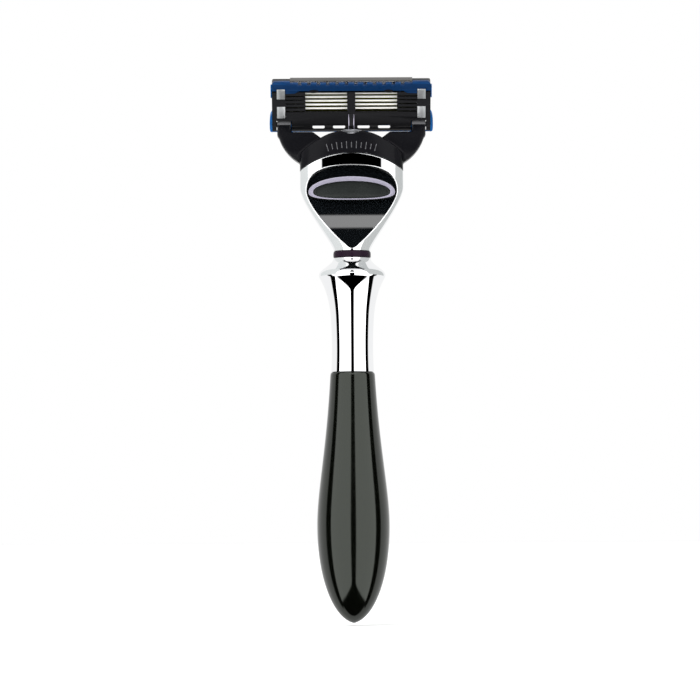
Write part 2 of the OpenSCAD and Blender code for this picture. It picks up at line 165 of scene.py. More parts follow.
def signed_pow(v, p):
    return math.copysign(abs(v) ** p, v)


def add_object(name, data):
    obj = bpy.data.objects.new(name, data)
    bpy.context.scene.collection.objects.link(obj)
    return obj


def edit_mesh(obj, work):
    """Runs work on the object's mesh."""
    bm = bmesh.new()
    bm.from_mesh(obj.data)
    work(bm)
    bm.to_mesh(obj.data)
    bm.free()
    return obj


def make_object(name, verts, faces, local=None):
    """Mesh object from points in millimetres. local moves them from the cartridge's frame."""
    mesh = bpy.data.meshes.new(name)
    mesh.from_pydata([local @ Vector(v) if local else Vector(v) for v in verts], [], faces)
    mesh.validate()
    return edit_mesh(add_object(name, mesh), lambda bm: bmesh.ops.recalc_face_normals(bm, faces=bm.faces))


def cartridge_matrix():
    return Matrix.Translation(GUARD_POS) @ Matrix.Rotation(TILT, 4, "X")


CARTRIDGE = cartridge_matrix()


def revolve(name, outline, count=144):
    """Closed solid turned about Z from (radius, height) points. Points on the axis become poles."""
    verts = []
    rows = []
    for r, z in outline:
        if r < 1e-6:
            rows.append([len(verts)] * count)
            verts.append((0, 0, z))
            continue
        rows.append(list(range(len(verts), len(verts) + count)))
        for i in range(count):
            a = math.tau * i / count
            verts.append((r * math.cos(a), r * math.sin(a), z))
    faces = []
    pairs = list(zip(rows, rows[1:]))
    if outline[0][0] > 1e-6:
        pairs.append((rows[-1], rows[0]))
    for low, high in pairs:
        for i in range(count):
            j = (i + 1) % count
            corners = [low[i], low[j], high[j], high[i]]
            face = [v for n, v in enumerate(corners) if v not in corners[:n]]
            if len(face) > 2:
                faces.append(face)
    return make_object(name, verts, faces)


def skin(rows, count, ring=False):
    """Faces between rows of points. A ring joins its last row to the first."""
    faces = []
    for k in range(rows if ring else rows - 1):
        low, high = k * count, (k + 1) % rows * count
        for i in range(count):
            j = (i + 1) % count
            faces.append([low + i, low + j, high + j, high + i])
    return faces


def loft(name, rings, local=None):
    """Closed solid through rings of equal point count."""
    count = len(rings[0])
    verts = [p for ring in rings for p in ring]
    ends = [list(range(count)), list(range(len(verts) - count, len(verts)))]
    return make_object(name, verts, ends + skin(len(rings), count), local)


def tube(name, path, radius, closed, sides=10):
    """Round bead of one radius that follows the path."""
    verts = []
    count = len(path)
    for i, p in enumerate(path):
        before = Vector(path[(i - 1) % count] if closed or i else path[i])
        after = Vector(path[(i + 1) % count] if closed or i < count - 1 else path[i])
        along = (after - before).normalized()
        side = along.cross(Vector((0, 1, 0))).normalized()
        up = side.cross(along)
        verts += [Vector(p) + side * a + up * b for a, b in circle((0, 0), radius, sides)]
    faces = skin(count, sides, closed)
    if not closed:
        faces += [list(range(sides)), list(range(len(verts) - sides, len(verts)))]
    return make_object(name, verts, faces)


def prism(name, profile, axis, low, high, local=None):
    """Outline swept straight along x, y or z. The outline's points are the other two axes in order."""
    at = "xyz".index(axis)
    return loft(name, [[(*p[:at], v, *p[at:]) for p in profile] for v in (low, high)], local)


def block(name, low, high, local=None):
    """Box between two corners."""
    profile = [(low[1], low[2]), (high[1], low[2]), (high[1], high[2]), (low[1], high[2])]
    return prism(name, profile, "x", low[0], high[0], local)


def round_bar(name, x0, x1, y, z, r, local=None, count=32):
    return prism(name, circle((y, z), r, count), "x", x0, x1, local)


def bake(obj):
    """Applies the modifiers to the mesh."""
    dg = bpy.context.evaluated_depsgraph_get()
    mesh = bpy.data.meshes.new_from_object(obj.evaluated_get(dg))
    obj.modifiers.clear()
    old = obj.data
    obj.data = mesh
    bpy.data.meshes.remove(old)
    return obj


def merge(objects):
    """Joins objects into the first one, as one mesh."""
    def gather(bm):
        for obj in objects[1:]:
            bm.from_mesh(obj.data)
    edit_mesh(objects[0], gather)
    for obj in objects[1:]:
        bpy.data.objects.remove(obj)
    return objects[0]


def boolean(obj, others, operation):
    for other in others:
        mod = obj.modifiers.new("cut", "BOOLEAN")
        mod.operation = operation
        mod.object = other
        mod.solver = "MANIFOLD"
        bake(obj)
        bpy.data.objects.remove(other)
    return obj


def cut(obj, *others):
    return boolean(obj, others, "DIFFERENCE")


def keep_inside(obj, *others):
    return boolean(obj, others, "INTERSECT")


def add(obj, *others):
    return boolean(obj, others, "UNION")


def bevel(obj, width, segments, angle):
    mod = obj.modifiers.new("bevel", "BEVEL")
    mod.width = width
    mod.segments = segments
    mod.limit_method = "ANGLE"
    mod.angle_limit = math.radians(angle)
    return bake(obj)


def soften(obj, voxel, passes):
    """Fuses an object into one smooth moulding."""
    mod = obj.modifiers.new("remesh", "REMESH")
    mod.mode = "VOXEL"
    mod.voxel_size = voxel
    bake(obj)
    mod = obj.modifiers.new("smooth", "SMOOTH")
    mod.factor = 0.5
    mod.iterations = passes
    return bake(obj)


def tidy(obj):
    """Welds doubled points and drops slivers."""
    def weld(bm):
        bmesh.ops.remove_doubles(bm, verts=bm.verts, dist=1e-4)
        bmesh.ops.dissolve_degenerate(bm, edges=bm.edges, dist=1e-4)
    return edit_mesh(obj, weld)


def shade(obj, angle=32):
    """Smooth shading, with sharp edges kept above an angle."""
    for polygon in obj.data.polygons:
        polygon.use_smooth = True
    obj.data.set_sharp_from_angle(angle=math.radians(angle))
    return obj


def shade_by_field(obj, field, reach=0.02, agree=0.8):
    """Takes corner normals from a smooth field wherever the mesh lies on its surface."""
    mesh = obj.data
    moves = Matrix.Scale(0.01, 3)
    normals = []
    corner = [n.vector.copy() for n in mesh.corner_normals]
    for polygon in mesh.polygons:
        for index in polygon.loop_indices:
            p = mesh.vertices[mesh.loops[index].vertex_index].co
            near = field(p)
            normal = corner[index]
            if abs(near) < reach:
                slope = Vector([field(p + move) - field(p - move) for move in moves])
                if slope.length > 1e-9 and slope.normalized().dot(polygon.normal) > agree:
                    normal = slope.normalized()
            normals.append(normal)
    mesh.normals_split_custom_set(normals)
    return obj


# --- materials


# Grain drawn out along the cartridge.
ALONG_X = (0.05, 1, 1)


class Nodes:
    """Small helper around one node tree."""

    def new(self, kind, **inputs):
        node = self.tree.nodes.new("ShaderNode" + kind)
        for key, value in inputs.items():
            node.inputs[key.replace("_", " ")].default_value = value
        return node

    def link(self, output, socket):
        self.tree.links.new(output, socket)


class Shader(Nodes):
    """One material: object coordinates, noise and the principled surface."""

    def __init__(self, name):
        self.material = bpy.data.materials.new(name)
        self.material.use_nodes = True
        self.tree = self.material.node_tree
        self.surface = self.tree.nodes["Principled BSDF"]
        self.place = self.new("TexCoord").outputs["Object"]

    def set(self, **values):
        for key, value in values.items():
            self.surface.inputs[key.replace("_", " ")].default_value = value
        return self

    def noise(self, scale, detail=3.0, stretch=(1, 1, 1)):
        mapping = self.new("Mapping", Scale=stretch)
        self.link(self.place, mapping.inputs["Vector"])
        node = self.new("TexNoise", Scale=scale, Detail=detail)
        self.link(mapping.outputs["Vector"], node.inputs["Vector"])
        return node.outputs["Fac"]

    def ramp(self, value, low, high, start=0.3, end=0.7):
        node = self.new("MapRange", From_Min=start, From_Max=end, To_Min=low, To_Max=high)
        self.link(value, node.inputs["Value"])
        return node.outputs["Result"]

    def mix(self, value, first, second):
        node = self.new("Mix")
        node.data_type = "RGBA"
        node.inputs["A"].default_value = (*first, 1)
        node.inputs["B"].default_value = (*second, 1)
        self.link(value, node.inputs["Factor"])
        return node.outputs["Result"]

    def colour(self, output):
        self.link(output, self.surface.inputs["Base Color"])
        return self

    def roughness(self, output):
        self.link(output, self.surface.inputs["Roughness"])
        return self

    def bump(self, output, depth):
        node = self.new("Bump", Strength=1.0, Distance=depth * MM)
        self.link(output, node.inputs["Height"])
        self.link(node.outputs["Normal"], self.surface.inputs["Normal"])
        return self

    def painted_edge_highlight(self, body, edge):
        """Colour that turns to the edge tint on sharp convex edges: a painted highlight along the rims."""
        pointiness = self.new("NewGeometry").outputs["Pointiness"]
        return self.mix(self.ramp(pointiness, 0, 1, 0.52, 0.6), body, edge)


def moulded_plastic(name, body, edge, rough, grain, depth, **more):
    """Moulded plastic: fine grain, uneven gloss and slightly paler edges, which are a painted rim highlight.
    """
    s = Shader(name)
    s.roughness(s.ramp(s.noise(1 / (6 * MM), 4), *rough))
    s.bump(s.noise(1 / (grain * MM), 4), depth)
    s.colour(s.painted_edge_highlight(body, edge))
    return s.set(**more)


def housing_black():
    return moulded_plastic("housing_black", body=(0.005, 0.005, 0.0055), edge=(0.011, 0.011, 0.012),
                           rough=(0.2, 0.32), grain=0.12, depth=0.003, Specular_IOR_Level=0.03)


def yoke_black():
    # The edge tint here is a painted highlight along the rims of the arms and cowl.
    return moulded_plastic("yoke_black", body=(0.0035, 0.0035, 0.0045), edge=(0.10, 0.10, 0.105),
                           rough=(0.16, 0.24), grain=0.2, depth=0.0012, Specular_IOR_Level=0.08)


def guard_blue():
    return moulded_plastic("guard_blue", body=(0.003, 0.06, 0.20), edge=(0.004, 0.085, 0.27),
                           rough=(0.38, 0.55), grain=0.1, depth=0.004, Subsurface_Weight=0.06,
                           Subsurface_Scale=0.0006, Specular_IOR_Level=0.12)


def carrier_blue():
    return moulded_plastic("carrier_blue", body=(0.001, 0.017, 0.062), edge=(0.002, 0.030, 0.105),
                           rough=(0.25, 0.4), grain=0.15, depth=0.003, Specular_IOR_Level=0.1)


def cap_grey():
    return moulded_plastic("cap_grey", body=(0.03, 0.028, 0.025), edge=(0.05, 0.047, 0.043),
                           rough=(0.3, 0.42), grain=0.12, depth=0.003)


def painted_highlight_grey():
    # Painted highlight: pale lavender grey laid on the button's lip and along the cam rib's edges, where the
    # black surfaces catch the light.
    return moulded_plastic("painted_highlight_grey", body=(0.20, 0.19, 0.24), edge=(0.36, 0.34, 0.42), rough=(0.25, 0.36),
                           grain=0.3, depth=0.001, Metallic=0.2, Specular_IOR_Level=0.25)


def plunger_grey():
    return moulded_plastic("plunger_grey", body=(0.66, 0.67, 0.71), edge=(0.8, 0.8, 0.84), rough=(0.2, 0.32),
                           grain=0.2, depth=0.002, Metallic=0.2)


def ejector_grey():
    return moulded_plastic("ejector_grey", body=(0.26, 0.27, 0.29), edge=(0.36, 0.37, 0.39),
                           rough=(0.3, 0.45), grain=0.2, depth=0.004)


def core_black():
    return moulded_plastic("core_black", body=(0.028, 0.028, 0.03), edge=(0.06, 0.06, 0.065),
                           rough=(0.35, 0.5), grain=0.2, depth=0.005)


def lubricating_strip():
    """Waxy strip: blotchy pale green, with fine lines along its length."""
    s = Shader("lubricating_strip")
    s.colour(s.mix(s.ramp(s.noise(1 / (0.8 * MM), 5), 0, 1), (0.30, 0.58, 0.46), (0.42, 0.68, 0.56)))
    s.roughness(s.ramp(s.noise(1 / (0.5 * MM)), 0.3, 0.55))
    s.bump(s.noise(1 / (0.4 * MM), 3, ALONG_X), 0.008)
    return s.set(Subsurface_Weight=0.2, Subsurface_Scale=0.001)


def brushed_metal(name, colour, dark, rough, grain, depth, stretch, metallic=1.0):
    """Metal with fine lines along one direction."""
    s = Shader(name)
    lines = s.noise(1 / (grain * MM), 4, stretch)
    s.colour(s.mix(s.ramp(lines, 0, 1), dark, colour))
    s.roughness(s.ramp(lines, *rough))
    s.bump(lines, depth)
    return s.set(Metallic=metallic)


def blade_steel():
    return brushed_metal("blade_steel", colour=(0.80, 0.81, 0.82), dark=(0.66, 0.67, 0.69),
                         rough=(0.14, 0.28), grain=0.1, depth=0.0006, stretch=ALONG_X)


def support_steel():
    return brushed_metal("support_steel", colour=(0.96, 0.95, 0.88), dark=(0.90, 0.89, 0.80),
                         rough=(0.3, 0.45), grain=0.12, depth=0.001, stretch=ALONG_X, metallic=0.4)


def support_shade():
    """The supports' inner faces: a darker copy of the support steel, painted shade between the bright hems.
    """
    return brushed_metal("support_shade", colour=(0.075, 0.072, 0.012), dark=(0.05, 0.048, 0.01),
                         rough=(0.35, 0.5), grain=0.12, depth=0.001, stretch=ALONG_X)


def clip_metal():
    return brushed_metal("clip_metal", colour=(0.62, 0.63, 0.64), dark=(0.5, 0.51, 0.52), rough=(0.3, 0.42),
                         grain=0.1, depth=0.0006, stretch=(1, 0.1, 0.1), metallic=0.85)


def spring_steel():
    return brushed_metal("spring_steel", colour=(0.62, 0.62, 0.63), dark=(0.5, 0.5, 0.51),
                         rough=(0.2, 0.35), grain=0.05, depth=0.0005, stretch=(1, 1, 1))


def stud_steel():
    return brushed_metal("stud_steel", colour=(0.60, 0.61, 0.62), dark=(0.5, 0.5, 0.52), rough=(0.25, 0.4),
                         grain=0.1, depth=0.001, stretch=(0.1, 0.1, 1))


def insert_brass():
    return brushed_metal("insert_brass", colour=(0.71, 0.55, 0.24), dark=(0.58, 0.44, 0.2),
                         rough=(0.22, 0.38), grain=0.1, depth=0.001, stretch=(0.1, 0.1, 1))


def chrome():
    """Mirror plating: almost no roughness, faint wipe marks and a cool tint."""
    s = Shader("chrome")
    s.colour(s.mix(s.ramp(s.noise(1 / (9 * MM), 3), 0, 1), (0.93, 0.94, 0.955), (0.96, 0.965, 0.97)))
    s.roughness(s.ramp(s.noise(1 / (4 * MM), 5), 0.012, 0.035))
    s.bump(s.noise(1 / (0.25 * MM), 2), 0.00004)
    return s.set(Metallic=1.0)


def gloss_black(name, body, rough, **more):
    """Polished black: deep colour, a trace of ripple and uneven polish."""
    s = Shader(name)
    s.colour(s.mix(s.ramp(s.noise(1 / (5 * MM), 3), 0, 1), body, tuple(1.4 * c for c in body)))
    s.roughness(s.ramp(s.noise(1 / (3 * MM), 4), *rough))
    s.bump(s.noise(1 / (3 * MM), 2), 0.0004)
    return s.set(**more)


def grip_black():
    return gloss_black("grip_black", body=(0.001, 0.0012, 0.0008), rough=(0.08, 0.12), IOR=1.53,
                       Specular_Tint=(0.93, 1.0, 0.90, 1))


def inlay_black():
    return gloss_black("inlay_black", body=(0.002, 0.0025, 0.003), rough=(0.03, 0.06), IOR=1.85)


def button_black():
    return gloss_black("button_black", body=(0.009, 0.0105, 0.010), rough=(0.22, 0.3), IOR=1.5,
                       Specular_IOR_Level=0.15)


def washer_dark():
    return gloss_black("washer_dark", body=(0.010, 0.005, 0.010), rough=(0.2, 0.3), IOR=1.5,
                       Specular_IOR_Level=0.06)


def dress(obj, material):
    obj.data.materials.clear()
    obj.data.materials.append(material)
    for polygon in obj.data.polygons:
        polygon.material_index = 0
    return obj


def piece(obj, name, body, slot, material, *nodes):
    """Names a finished piece, dresses it and ties it to its body."""
    obj.name = name
    obj.data.transform(Matrix.Scale(MM, 4))
    dress(obj, material)
    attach(obj, body)
    if nodes:
        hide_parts(*nodes)
    return obj


# --- handle


def ferrule():
    outline = path(
        (0, -0.9), (4.55, -0.9),
        ((4.75, -0.9), (4.85, -1.0), (4.85, -1.2), 6),
        ((5.1, -2.4), (7.8, -3.8), (8.25, -4.5), 28),
        ((8.62, -4.95), (8.68, -5.55), (8.46, -6.0), 28),
        ((7.5, -7.75), (6.1, -10.4), (5.6, -15.9), 36),
        ((5.3, -20.5), (5.2, -25), (5.5, -30.4), 24),
        (0, -30.4))
    obj = revolve("ferrule", outline, 192)
    return shade(cut(obj, stud_hole(-12.5, 0), turned_bar(INSERT_R, -31, -21.9)))


def turned_bar(r, z0, z1):
    return revolve("bar", [(0, z0), (r, z0), (r, z1), (0, z1)], 48)


def stud_hole(z0, z1):
    return turned_bar(STUD_R, z0, z1)


def grip():
    outline = path(
        (0, -30.42), (5.1, -30.42),
        ((5.62, -30.45), (5.74, -30.9), (5.78, -31.4), 12),
        ((5.81, -31.8), (5.83, -32.1), (5.85, -32.4), 4),
        ((7.0, -51.4), (9.35, -61), (9.35, -70), 60),
        ((9.35, -84.5), (5.0, -94.1), (0, -95.1), 60))
    return shade(cut(revolve("grip", outline, 192), turned_bar(INSERT_R, -50.5, -30)), 40)


def neck_washer():
    outline = path(
        (STUD_R, -0.9), (4.5, -0.9),
        ((4.75, -0.88), (4.85, -0.7), (4.85, -0.4), 8),
        ((4.85, 0.0), (4.85, 0.2), (4.82, 0.45), 4),
        ((4.75, 0.75), (4.6, 0.88), (4.35, 0.9), 8),
        (STUD_R, 0.9))
    return shade(revolve("neck_washer", outline), 50)


# --- head

FLARE = curve((1, NECK_R), (2.65, NECK_R), (13.4, HEAD_HALF), (17.5, HEAD_HALF), 400)


def head_half_width(z):
    if z <= FLARE[0][0]:
        return NECK_R
    if z >= FLARE[-1][0]:
        return HEAD_HALF
    high = bisect.bisect(FLARE, z, key=lambda point: point[0])
    (z0, r0), (z1, r1) = FLARE[high - 1:high + 1]
    return r0 + (z - z0) / (z1 - z0) * (r1 - r0)


def head_section(z, inset=0.0):
    """Half width, middle y, half depth and squareness of the head at a height."""
    s = smooth((z - 1) / 20)
    half_y = NECK_R + (HEAD_T / 2 - NECK_R) * s
    return head_half_width(z) - inset, HEAD_LEAN * s, half_y - inset, 2 + (RIM_SQUARE - 2) * s


def squared_ring(z, half_x, mid_y, half_y, square, count):
    """Level ring: an ellipse at squareness 2, nearer a rectangle above that."""
    ring = []
    for i in range(count):
        a = math.tau * (i + 0.5) / count
        ring.append((half_x * signed_pow(math.cos(a), 2 / square),
                     mid_y + half_y * signed_pow(math.sin(a), 2 / square), z))
    return ring


def head_back(x, z):
    """Depth of the head's back surface behind a point."""
    half_x, mid_y, half_y, square = head_section(z)
    return mid_y - half_y * max(0.0, 1 - abs(x / half_x) ** square) ** (1 / square)


def head_field(p):
    """Zero on the head's outer surface, growing outwards, in about millimetres."""
    half_x, mid_y, half_y, square = head_section(p.z)
    level = abs(p.x / half_x) ** square + abs((p.y - mid_y) / half_y) ** square
    return (level ** (1 / square) - 1) * min(half_x, half_y)


def head_solid(name, inset, z0, z1):
    steps = 64
    levels = [z0 + (z1 - z0) * k / steps for k in range(steps + 1)]
    return loft(name, [squared_ring(z, *head_section(z, inset), 160) for z in levels])


def mirror_outline(right):
    """Closed outline from its right half, which starts and ends on the middle line."""
    return right + mirrored(right[1:-1])


def inlay_outline(grow, steps=40):
    half = OPENING_HALF + grow
    top = OPENING_TOP + grow
    tip = OPENING_TIP - 1.5 * grow
    return mirror_outline(path(
        (0, top),
        ((8.3, top), (half, 21.0), (half, 16.4), steps),
        ((half, 12.9), (5.6 + grow, 5.6), (1.15 + grow, tip + 0.45), steps),
        ((0.75, tip + 0.1), (0.4, tip), (0, tip), 8)))


def rim_keep():
    """Everything below the rim's arc, as a cutter to keep."""
    rim = arc((0, RIM_C), RIM_R - 0.12, 160, 20, 140)
    side = rim[0][1]
    return prism("rim", [(-60, -10), (-60, side)] + rim + [(60, side), (60, -10)], "y", -60, 60)


def rim_height(x):
    return RIM_C + math.sqrt(RIM_R * RIM_R - x * x)


def head_shell():
    shell = head_solid("head_shell", 0, 0.9, 28)
    cut(shell, head_solid("cavity", SHELL_WALL, 6, 30))
    keep_inside(shell, rim_keep())
    cut(shell, prism("opening", inlay_outline(0), "y", -30, 0), stud_hole(-1, 9))
    tidy(shell)
    shade(shell, 30)
    shade_by_field(shell, head_field)
    return shell


def opening_bead():
    """Rolled lip around the opening."""
    path = [(x, head_back(x, z) + 0.12, z) for x, z in inlay_outline(0.02, 60)]
    return shade(tube("opening_bead", path, 0.2, True), 80)


def rim_bead():
    """Rolled lip along the top edge of the shell."""
    count, sides, radius = 240, 10, 0.16
    verts = []
    for x, y, _ in squared_ring(0, *head_section(24, radius), count):
        middle = Vector((x, y, rim_height(x) - radius))
        out = Vector((x, y - HEAD_LEAN, 0)).normalized()
        verts += [middle + out * a + Vector((0, 0, b)) for a, b in circle((0, 0), radius, sides)]
    return shade(make_object("rim_bead", verts, skin(count, sides, True)), 80)


def scoop_face(shift):
    face = curve((-4.65 + shift, 1), (-3.5 + shift, 4.6), (SCOOP_Y + shift, 8.6), (SCOOP_Y + shift, 14), 60)
    return face + [(SCOOP_Y + shift, 24)]


def back_inlay():
    """Scooped plate: the slab between two scoop lines, cut to the opening."""
    slab = prism("back_inlay", scoop_face(0) + scoop_face(1.1)[::-1], "x", -14, 14)
    keep_inside(slab, prism("outline", inlay_outline(-0.05), "y", -30, 0), head_solid("limit", 0.05, 0.9, 28))
    slot_cut = block("slot", (-2.2, -30, 14.7), (2.2, 0, 19.9))
    cut(slab, slot_cut, turned_bar(2.05, 0.5, 9.3))
    tidy(slab)
    return shade(slab, 25)


def oval_point(a, half, high, low):
    """Point of an oval that is an ellipse above its middle line and flatter below it."""
    power = 1 if math.sin(a) > 0 else 2 / PAD_SQUARE
    reach = high if math.sin(a) > 0 else low
    return half * signed_pow(math.cos(a), power), reach * signed_pow(math.sin(a), power)


def pad_point(a, grow):
    x, z = oval_point(a, PAD_HALF + grow, PAD_TOP - PAD_MID + grow, PAD_MID - PAD_LOW + grow)
    return x, PAD_MID + z


def pad_rows(count):
    """Rows of the button from its hidden edge over the lip and into the dish."""
    angles = [math.tau * i / count for i in range(count)]
    rows = []
    for grow, rise in ((0, None), (0, 0.25), (-0.04, 0.1), (-0.15, 0.02), (-0.32, 0.0)):
        row = []
        for a in angles:
            x, z = pad_point(a, grow)
            y = SCOOP_Y - 0.05 if rise is None else head_back(x, z) - 0.1 + rise
            row.append((x, y, z))
        rows.append(row)
    # Into the dish: share of its size, and depth below the lip.
    for share, sink in ((1.02, 0.0), (0.995, 0.06), (0.98, 0.25), (0.965, 0.5), (0.94, 0.62), (0.88, 0.68),
                        (0.7, 0.74), (0.45, 0.79), (0.2, 0.81)):
        row = []
        for a in angles:
            x, z = oval_point(a, 10.05 * share, 2.75 * share, 1.85 * share)
            row.append((x, head_back(x, DISH_Z + z) - 0.1 + sink, DISH_Z + z))
        rows.append(row)
    return rows


def release_button():
    """Black thumb pad: side wall, rounded lip and dished face, with its stem."""
    count = 144
    rows = pad_rows(count)
    verts = [p for row in rows for p in row] + [(0, head_back(0, DISH_Z) - 0.1 + 0.82, DISH_Z)]
    faces = [list(range(count))] + skin(len(rows), count)
    last = (len(rows) - 1) * count
    for i in range(count):
        faces.append([last + i, last + (i + 1) % count, len(verts) - 1])
    pad = shade(make_object("release_button", verts, faces), 60)
    stem = block("stem", (-1.9, SCOOP_Y - 0.5, 15), (1.9, -0.95, 17.6))
    return merge([pad, shade(stem)])


def button_lip_highlight():
    """Thin pale band on the button's raised lip, between its edge and the dish: a painted highlight."""
    count = 144
    proud = 0.05
    band = pad_rows(count)[3:7]
    rows = [[(x, y - proud, z) for x, y, z in row] for row in band]
    rows += [[(x, y + proud, z) for x, y, z in row] for row in reversed(band)]
    verts = [p for row in rows for p in row]
    return shade(make_object("button_lip_highlight", verts, skin(len(rows), count, True)), 60)


# --- yoke and plunger


def arm_outline():
    """Right arm seen from behind: outer arc and inner corner."""
    centre, r, top = (7.6, 34.0), 11.7, 32.3
    start = math.degrees(math.asin((top - centre[1]) / r))
    return arc(centre, r, start, -90, 40) + [(0, 22.3), (0, 30.4), (7.6, 30.4), (10.0, top)]


def arm_side():
    """Cutter to keep: both arms seen from the side."""
    back = curve((-0.6, 21.9), (-0.7, 27), (1.1, 31), (PIVOT_Y - 1.2, PIVOT_Z), 24)
    front = curve((PIVOT_Y + 1.4, PIVOT_Z), (5.6, 29.5), (3.6, 27), (3.4, 21.9), 24)
    return prism("side", back + front, "x", -LONG_CUT, LONG_CUT)


def arm(side):
    outline = arm_outline() if side > 0 else mirrored(arm_outline())
    return keep_inside(prism("arm", outline, "y", -CUT, CUT), arm_side())


def arm_column(side):
    low, high = span(side, *ARM)
    return keep_inside(block("column", (low, -20, 31), (high, 20, 40)), arm_side())


# Cowl at four heights: z, middle y, half depth, squareness.
COWL_RINGS = ((25, 1.6, 5.4, RIM_SQUARE), (28, 1.95, 4.75, 3.6), (30.5, 2.3, 4.1, 3.0), (33, 2.6, 3.5, 2.6))


def cowl():
    """Hood over the dock, with a domed crest."""
    rings = ((20, *COWL_RINGS[0][1:]),) + COWL_RINGS
    body = loft("cowl", [squared_ring(z, HEAD_HALF, mid, half, square, 96) for z, mid, half, square in rings])
    crest = curve((0, 32.3), (3.4, 32.3), (5.4, 31.9), (8.0, 30.35), 16)
    shoulder = arc((0, 14.3), 17.8, 62, 30, 16)
    right = crest + [p for p in shoulder if p[0] < HEAD_HALF]
    low = right[-1][1]
    outline = ([(HEAD_HALF, 10), (HEAD_HALF, low)] + right[::-1]
               + [(-x, z) for x, z in right[1:]] + [(-HEAD_HALF, low), (-HEAD_HALF, 10)])
    side = [(-20, 0), (-20, 40), (-1.6, 40), (-1.6, 32.4), (5.2, 31.2), (7.2, 29.6), (7.2, 0)]
    dome = prism("dome", outline, "y", -CUT, CUT)
    return keep_inside(body, dome, prism("side", side, "x", -LONG_CUT, LONG_CUT))


def rounded_box_outline(half_x, y0, y1, r):
    points = []
    for cx, cy, start in ((half_x - r, y1 - r, 0), (r - half_x, y1 - r, 90),
                          (r - half_x, y0 + r, 180), (half_x - r, y0 + r, 270)):
        points += arc((cx, cy), r, start, start + 90, 8)
    return points


def at_plunger(obj):
    obj.data.transform(Matrix.Translation((0, PLUNGER_Y, 0)))
    return obj


def yoke_cuts(obj):
    """Rim gap, dock pocket and the room for the plunger's nose."""
    gap = 0.15
    rim = arc((0, RIM_C), RIM_R + gap, 170, 10, 160)
    below = [(rim[0][0], -10)] + rim + [(rim[-1][0], -10)]
    dock = rounded_box_outline(8.3 + gap, -gap, 5.1 + gap, 1.2)
    notch = circle((0, NOSE_TOP - NOSE_BOWL + NOSE_ARC), NOSE_ARC + 0.25, 64)
    return cut(obj, prism("rim_gap", below, "y", -LONG_CUT, LONG_CUT), prism("dock", dock, "z", 10, 28.8),
               at_plunger(revolve("nose_hole", [(0, 10), (3.1, 10), (3.1, 50), (0, 50)], 64)),
               prism("notch", notch, "y", -30, PLUNGER_Y))


def cowl_ribs():
    """Plain grip ribs that follow the cowl's dome."""
    ribs = []
    count = 11
    spread = 30
    for i in range(count):
        a = math.radians(-spread / 2 + spread * i / (count - 1))
        mid = Vector((24.0 * math.sin(a), 0, 4.3 + 24.0 * math.cos(a)))
        up = Vector((math.sin(a), 0, math.cos(a)))
        half = 0.75 if i % 2 else 1.0
        path = []
        for k in range(7):
            t = -half + 2 * half * k / 6
            p = mid + up * t
            end = 0.12 if k in (0, 6) else 0.0
            path.append((p.x, cowl_back(p.x, p.z) + 0.02 + end, p.z))
        ribs.append(tube("rib", path, 0.13, False, 8))
    return merge(ribs)


def cowl_back(x, z):
    """Depth of the cowl's back surface."""
    for low, high in zip(COWL_RINGS, COWL_RINGS[1:]):
        if z <= high[0] or high is COWL_RINGS[-1]:
            t = (z - low[0]) / (high[0] - low[0])
            mid, half, square = (low[k] + t * (high[k] - low[k]) for k in (1, 2, 3))
            return mid - half * max(0.0, 1 - abs(x / HEAD_HALF) ** square) ** (1 / square)
    return 0.0


def yoke():
    """Cowl and arms fused into one moulding, with pivot bosses, pins and ribs."""
    body = add(cowl(), arm(1), arm(-1), arm_column(1), arm_column(-1))
    soften(body, 0.22, 12)
    for side in (1, -1):
        add(body, round_bar("boss", *span(side, *ARM), PIVOT_Y, PIVOT_Z, 1.4, None, 40),
            round_bar("pin", *span(side, *PIN), PIVOT_Y, PIVOT_Z, PIN_R))
    tidy(yoke_cuts(body))
    return merge([shade(body, 35), shade(cowl_ribs(), 60)])


def plunger():
    """Sprung nose: a post under a shallow bowl."""
    low, post = NOSE_TOP - NOSE_BOWL, 1.4
    start = math.degrees(math.asin(post / NOSE_ARC)) - 90
    stop = math.degrees(math.asin((NOSE_R - 0.02) / NOSE_ARC)) - 90
    points = ([(0, 22), (1.25, 22), (post, 22.2), (post, low + 0.25)]
              + arc((0, low + NOSE_ARC), NOSE_ARC, start, stop, 20)
              + [(NOSE_R, NOSE_TOP - 0.03), (NOSE_R - 0.08, NOSE_TOP), (0, NOSE_TOP)])
    return shade(at_plunger(revolve("plunger", points, 96)), 35)


# --- cartridge


def frame_block(name, low, high):
    return block(name, low, high, CARTRIDGE)


def sweep(name, profile, half):
    """Side profile in the cartridge's frame, swept to both sides of the middle."""
    return prism(name, profile, "x", -half, half, CARTRIDGE)


def side_block(name, side, low, high):
    x0, x1 = span(side, low[0], high[0])
    return frame_block(name, (x0, *low[1:]), (x1, *high[1:]))


def rinse_slot_cutters():
    """Four round-ended slots through the guard and the housing."""
    low, high, half, r = 32.9, 33.7, 1.6, 0.38
    middle = (low + high) / 2
    turn = Matrix.Translation((0, 0, low)) @ Matrix.Rotation(math.radians(6.5), 4, "X")
    cutters = []
    for x in (-8.55, -3.2, 3.2, 8.55):
        right = arc((x + half - r, middle), r, -90, 90, 8)
        left = arc((x - half + r, middle), r, 90, 270, 8)
        cutter = prism("slot", right + left, "y", -LONG_CUT, LONG_CUT)
        cutter.data.transform(turn @ Matrix.Translation((0, 0, -low)))
        cutters.append(cutter)
    return merge(cutters)


